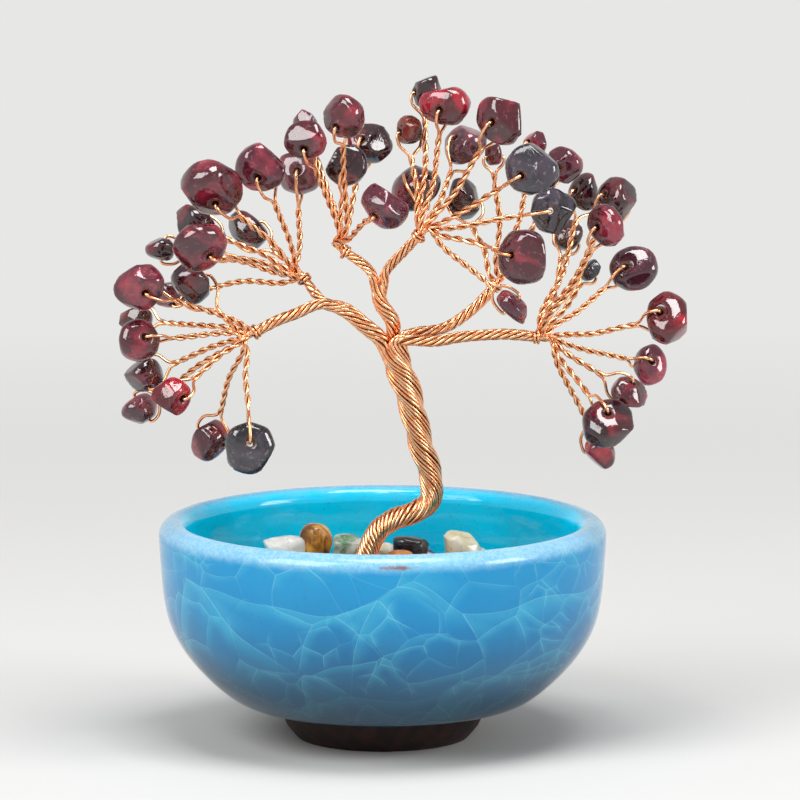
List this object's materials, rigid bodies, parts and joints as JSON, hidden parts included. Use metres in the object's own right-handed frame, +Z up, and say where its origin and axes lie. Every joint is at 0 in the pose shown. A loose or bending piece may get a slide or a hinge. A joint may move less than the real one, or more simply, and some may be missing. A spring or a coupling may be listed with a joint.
{
  "type": "gemstone tree ornament",
  "caption": "Footed crackle glazed cup planted with a bonsai of twisted copper wire, whose twig ends carry drilled tumbled garnet chips above a bed of mixed tumbled stones.",
  "frame": {"origin": "middle of the foot ring, on the surface that the bowl stands on", "axes": "+Z up, the front of the tree faces -Y, +X is to the right seen from the front"},
  "size_m": [0.0964, 0.075, 0.1119],
  "materials": {
    "glaze": "gloss",
    "plaster": "matte",
    "pale_stone": "polished",
    "amber_stone": "polished",
    "dark_stone": "polished",
    "copper": "polished",
    "garnet": "polished"
  },
  "bodies": {
    "tree": {"bowl": "glaze", "planting_bed": "plaster", "pale_stones": "pale_stone", "amber_stones": "amber_stone", "dark_stones": "dark_stone", "trunk": "copper", "left_low_twigs": "copper", "left_high_twigs": "copper", "middle_left_twigs": "copper", "middle_right_twigs": "copper", "right_high_twigs": "copper", "right_low_twigs": "copper"},
    "garnet_01": {"garnet_01": "garnet"},
    "garnet_02": {"garnet_02": "garnet"},
    "garnet_03": {"garnet_03": "garnet"},
    "garnet_04": {"garnet_04": "garnet"},
    "garnet_05": {"garnet_05": "garnet"},
    "garnet_06": {"garnet_06": "garnet"},
    "garnet_07": {"garnet_07": "garnet"},
    "garnet_08": {"garnet_08": "garnet"},
    "garnet_09": {"garnet_09": "garnet"},
    "garnet_10": {"garnet_10": "garnet"},
    "garnet_11": {"garnet_11": "garnet"},
    "garnet_12": {"garnet_12": "garnet"},
    "garnet_13": {"garnet_13": "garnet"},
    "garnet_14": {"garnet_14": "garnet"},
    "garnet_15": {"garnet_15": "garnet"},
    "garnet_16": {"garnet_16": "garnet"},
    "garnet_17": {"garnet_17": "garnet"},
    "garnet_18": {"garnet_18": "garnet"},
    "garnet_19": {"garnet_19": "garnet"},
    "garnet_20": {"garnet_20": "garnet"},
    "garnet_21": {"garnet_21": "garnet"},
    "garnet_22": {"garnet_22": "garnet"},
    "garnet_23": {"garnet_23": "garnet"},
    "garnet_24": {"garnet_24": "garnet"},
    "garnet_25": {"garnet_25": "garnet"},
    "garnet_26": {"garnet_26": "garnet"},
    "garnet_27": {"garnet_27": "garnet"},
    "garnet_28": {"garnet_28": "garnet"},
    "garnet_29": {"garnet_29": "garnet"},
    "garnet_30": {"garnet_30": "garnet"},
    "garnet_31": {"garnet_31": "garnet"},
    "garnet_32": {"garnet_32": "garnet"},
    "garnet_33": {"garnet_33": "garnet"},
    "garnet_34": {"garnet_34": "garnet"},
    "garnet_35": {"garnet_35": "garnet"},
    "garnet_36": {"garnet_36": "garnet"},
    "garnet_37": {"garnet_37": "garnet"},
    "garnet_38": {"garnet_38": "garnet"},
    "garnet_39": {"garnet_39": "garnet"},
    "garnet_40": {"garnet_40": "garnet"},
    "garnet_41": {"garnet_41": "garnet"},
    "garnet_42": {"garnet_42": "garnet"},
    "garnet_43": {"garnet_43": "garnet"},
    "garnet_44": {"garnet_44": "garnet"},
    "garnet_45": {"garnet_45": "garnet"},
    "garnet_46": {"garnet_46": "garnet"},
    "garnet_47": {"garnet_47": "garnet"},
    "garnet_48": {"garnet_48": "garnet"}
  },
  "joints": [
    {"name": "garnet_01_turn", "type": "hinge", "parent": "tree", "child": "garnet_01", "pos_m": [-0.03938, -0.01218, 0.07738], "axis": [0.2227, -0.9305, -0.2909], "range_deg": [-15, 15]},
    {"name": "garnet_02_turn", "type": "hinge", "parent": "tree", "child": "garnet_02", "pos_m": [-0.04081, 0.00389, 0.06992], "axis": [-0.1897, -0.3095, -0.9318], "range_deg": [-15, 15]},
    {"name": "garnet_03_turn", "type": "hinge", "parent": "tree", "child": "garnet_03", "pos_m": [-0.03959, -0.01098, 0.06848], "axis": [0.2692, -0.8979, 0.3482], "range_deg": [-15, 15]},
    {"name": "garnet_04_turn", "type": "hinge", "parent": "tree", "child": "garnet_04", "pos_m": [-0.03946, 0.00123, 0.06115], "axis": [0.1912, -0.472, -0.8606], "range_deg": [-15, 15]},
    {"name": "garnet_05_turn", "type": "hinge", "parent": "tree", "child": "garnet_05", "pos_m": [-0.03421, -0.01357, 0.05993], "axis": [0.6458, -0.7237, -0.2433], "range_deg": [-15, 15]},
    {"name": "garnet_06_turn", "type": "hinge", "parent": "tree", "child": "garnet_06", "pos_m": [-0.04061, 0.00869, 0.05418], "axis": [0.5347, -0.1478, -0.832], "range_deg": [-15, 15]},
    {"name": "garnet_07_turn", "type": "hinge", "parent": "tree", "child": "garnet_07", "pos_m": [-0.02879, 0.00525, 0.04975], "axis": [0.7923, -0.3688, -0.4862], "range_deg": [-15, 15]},
    {"name": "garnet_08_turn", "type": "hinge", "parent": "tree", "child": "garnet_08", "pos_m": [-0.022, -0.00956, 0.05101], "axis": [0.0786, -0.9746, 0.2097], "range_deg": [-15, 15]},
    {"name": "garnet_09_turn", "type": "hinge", "parent": "tree", "child": "garnet_09", "pos_m": [-0.03134, -0.00288, 0.07639], "axis": [-0.7211, -0.2501, -0.6461], "range_deg": [-15, 15]},
    {"name": "garnet_10_turn", "type": "hinge", "parent": "tree", "child": "garnet_10", "pos_m": [-0.02945, -0.01385, 0.08419], "axis": [0.4983, -0.7003, -0.5112], "range_deg": [-15, 15]},
    {"name": "garnet_11_turn", "type": "hinge", "parent": "tree", "child": "garnet_11", "pos_m": [-0.03531, 0.01221, 0.0732], "axis": [-0.0357, -0.4653, -0.8844], "range_deg": [-15, 15]},
    {"name": "garnet_12_turn", "type": "hinge", "parent": "tree", "child": "garnet_12", "pos_m": [-0.03664, 0.00272, 0.08194], "axis": [-0.1923, -0.1735, -0.9659], "range_deg": [-15, 15]},
    {"name": "garnet_13_turn", "type": "hinge", "parent": "tree", "child": "garnet_13", "pos_m": [-0.03109, 0.00883, 0.0853], "axis": [-0.4459, -0.7399, -0.5037], "range_deg": [-15, 15]},
    {"name": "garnet_14_turn", "type": "hinge", "parent": "tree", "child": "garnet_14", "pos_m": [-0.02763, -0.00784, 0.09282], "axis": [0.059, -0.8172, -0.5733], "range_deg": [-15, 15]},
    {"name": "garnet_15_turn", "type": "hinge", "parent": "tree", "child": "garnet_15", "pos_m": [-0.02249, 0.01078, 0.08384], "axis": [-0.6949, -0.2863, -0.6597], "range_deg": [-15, 15]},
    {"name": "garnet_16_turn", "type": "hinge", "parent": "tree", "child": "garnet_16", "pos_m": [-0.01973, -0.0007, 0.09547], "axis": [-0.3326, -0.8766, -0.3478], "range_deg": [-15, 15]},
    {"name": "garnet_17_turn", "type": "hinge", "parent": "tree", "child": "garnet_17", "pos_m": [-0.01396, 0.01088, 0.09353], "axis": [-0.1636, -0.9032, 0.3969], "range_deg": [-15, 15]},
    {"name": "garnet_18_turn", "type": "hinge", "parent": "tree", "child": "garnet_18", "pos_m": [-0.01278, 0.0074, 0.10206], "axis": [-0.8682, -0.4789, -0.1301], "range_deg": [-15, 15]},
    {"name": "garnet_19_turn", "type": "hinge", "parent": "tree", "child": "garnet_19", "pos_m": [-0.01243, -0.00661, 0.10071], "axis": [-0.2254, -0.8769, -0.4246], "range_deg": [-15, 15]},
    {"name": "garnet_20_turn", "type": "hinge", "parent": "tree", "child": "garnet_20", "pos_m": [-0.00628, -0.01494, 0.1054], "axis": [-0.5128, -0.7141, -0.4765], "range_deg": [-15, 15]},
    {"name": "garnet_21_turn", "type": "hinge", "parent": "tree", "child": "garnet_21", "pos_m": [-0.00277, 0.01077, 0.09827], "axis": [-0.2825, -0.7825, 0.5549], "range_deg": [-15, 15]},
    {"name": "garnet_22_turn", "type": "hinge", "parent": "tree", "child": "garnet_22", "pos_m": [-0.00617, 0.00006, 0.09539], "axis": [-0.2664, -0.9625, -0.0519], "range_deg": [-15, 15]},
    {"name": "garnet_23_turn", "type": "hinge", "parent": "tree", "child": "garnet_23", "pos_m": [0.00013, -0.01596, 0.09111], "axis": [-0.5811, -0.56, -0.5905], "range_deg": [-15, 15]},
    {"name": "garnet_24_turn", "type": "hinge", "parent": "tree", "child": "garnet_24", "pos_m": [0.0074, 0.00396, 0.10767], "axis": [-0.9311, -0.3265, 0.1626], "range_deg": [-15, 15]},
    {"name": "garnet_25_turn", "type": "hinge", "parent": "tree", "child": "garnet_25", "pos_m": [0.01028, -0.00446, 0.10603], "axis": [-0.3454, -0.9383, 0.017], "range_deg": [-15, 15]},
    {"name": "garnet_26_turn", "type": "hinge", "parent": "tree", "child": "garnet_26", "pos_m": [0.00432, 0.0013, 0.10159], "axis": [-0.8758, -0.4814, 0.0349], "range_deg": [-15, 15]},
    {"name": "garnet_27_turn", "type": "hinge", "parent": "tree", "child": "garnet_27", "pos_m": [0.00563, 0.01315, 0.09093], "axis": [-0.6031, -0.2831, 0.7457], "range_deg": [-15, 15]},
    {"name": "garnet_28_turn", "type": "hinge", "parent": "tree", "child": "garnet_28", "pos_m": [0.01354, 0.00928, 0.09837], "axis": [-0.6061, -0.3774, 0.7001], "range_deg": [-15, 15]},
    {"name": "garnet_29_turn", "type": "hinge", "parent": "tree", "child": "garnet_29", "pos_m": [0.01936, -0.00952, 0.10434], "axis": [-0.5371, -0.8378, 0.098], "range_deg": [-15, 15]},
    {"name": "garnet_30_turn", "type": "hinge", "parent": "tree", "child": "garnet_30", "pos_m": [0.02391, -0.0172, 0.09698], "axis": [-0.5499, -0.8209, -0.1538], "range_deg": [-15, 15]},
    {"name": "garnet_31_turn", "type": "hinge", "parent": "tree", "child": "garnet_31", "pos_m": [0.02779, -0.00273, 0.08896], "axis": [0.0351, -0.995, 0.0932], "range_deg": [-15, 15]},
    {"name": "garnet_32_turn", "type": "hinge", "parent": "tree", "child": "garnet_32", "pos_m": [0.02254, -0.01747, 0.08328], "axis": [-0.647, -0.7531, 0.119], "range_deg": [-15, 15]},
    {"name": "garnet_33_turn", "type": "hinge", "parent": "tree", "child": "garnet_33", "pos_m": [0.02151, -0.00675, 0.07373], "axis": [0.651, -0.0862, 0.7542], "range_deg": [-15, 15]},
    {"name": "garnet_34_turn", "type": "hinge", "parent": "tree", "child": "garnet_34", "pos_m": [0.01364, 0.01615, 0.08836], "axis": [-0.919, -0.393, -0.0313], "range_deg": [-15, 15]},
    {"name": "garnet_35_turn", "type": "hinge", "parent": "tree", "child": "garnet_35", "pos_m": [0.01847, 0.00275, 0.09743], "axis": [-0.9833, -0.1724, -0.0578], "range_deg": [-15, 15]},
    {"name": "garnet_36_turn", "type": "hinge", "parent": "tree", "child": "garnet_36", "pos_m": [0.02553, 0.01105, 0.09848], "axis": [-0.8085, -0.4861, 0.3318], "range_deg": [-15, 15]},
    {"name": "garnet_37_turn", "type": "hinge", "parent": "tree", "child": "garnet_37", "pos_m": [0.02988, 0.00278, 0.09559], "axis": [-0.3644, -0.9304, 0.0395], "range_deg": [-15, 15]},
    {"name": "garnet_38_turn", "type": "hinge", "parent": "tree", "child": "garnet_38", "pos_m": [0.0338, 0.00807, 0.09024], "axis": [-0.7543, -0.4684, 0.4601], "range_deg": [-15, 15]},
    {"name": "garnet_39_turn", "type": "hinge", "parent": "tree", "child": "garnet_39", "pos_m": [0.03866, -0.00143, 0.09044], "axis": [-0.794, -0.4225, 0.4371], "range_deg": [-15, 15]},
    {"name": "garnet_40_turn", "type": "hinge", "parent": "tree", "child": "garnet_40", "pos_m": [0.03671, -0.01089, 0.08724], "axis": [-0.7148, -0.6986, 0.0309], "range_deg": [-15, 15]},
    {"name": "garnet_41_turn", "type": "hinge", "parent": "tree", "child": "garnet_41", "pos_m": [0.03121, 0.01617, 0.08258], "axis": [-0.8138, -0.2321, 0.5327], "range_deg": [-15, 15]},
    {"name": "garnet_42_turn", "type": "hinge", "parent": "tree", "child": "garnet_42", "pos_m": [0.0407, 0.00392, 0.07794], "axis": [-0.1105, -0.8358, 0.5379], "range_deg": [-15, 15]},
    {"name": "garnet_43_turn", "type": "hinge", "parent": "tree", "child": "garnet_43", "pos_m": [0.035, 0.01358, 0.07693], "axis": [-0.6495, -0.1136, 0.7518], "range_deg": [-15, 15]},
    {"name": "garnet_44_turn", "type": "hinge", "parent": "tree", "child": "garnet_44", "pos_m": [0.04667, -0.00538, 0.07094], "axis": [-0.2756, -0.7469, 0.6052], "range_deg": [-15, 15]},
    {"name": "garnet_45_turn", "type": "hinge", "parent": "tree", "child": "garnet_45", "pos_m": [0.04426, 0.00397, 0.06233], "axis": [0.3608, -0.8365, 0.4124], "range_deg": [-15, 15]},
    {"name": "garnet_46_turn", "type": "hinge", "parent": "tree", "child": "garnet_46", "pos_m": [0.04056, -0.00542, 0.05901], "axis": [0.4307, -0.3281, 0.8408], "range_deg": [-15, 15]},
    {"name": "garnet_47_turn", "type": "hinge", "parent": "tree", "child": "garnet_47", "pos_m": [0.03712, -0.01336, 0.05519], "axis": [-0.0121, -0.7054, 0.7088], "range_deg": [-15, 15]},
    {"name": "garnet_48_turn", "type": "hinge", "parent": "tree", "child": "garnet_48", "pos_m": [0.03625, 0.00138, 0.04843], "axis": [0.8947, -0.2574, 0.365], "range_deg": [-15, 15]}
  ]
}
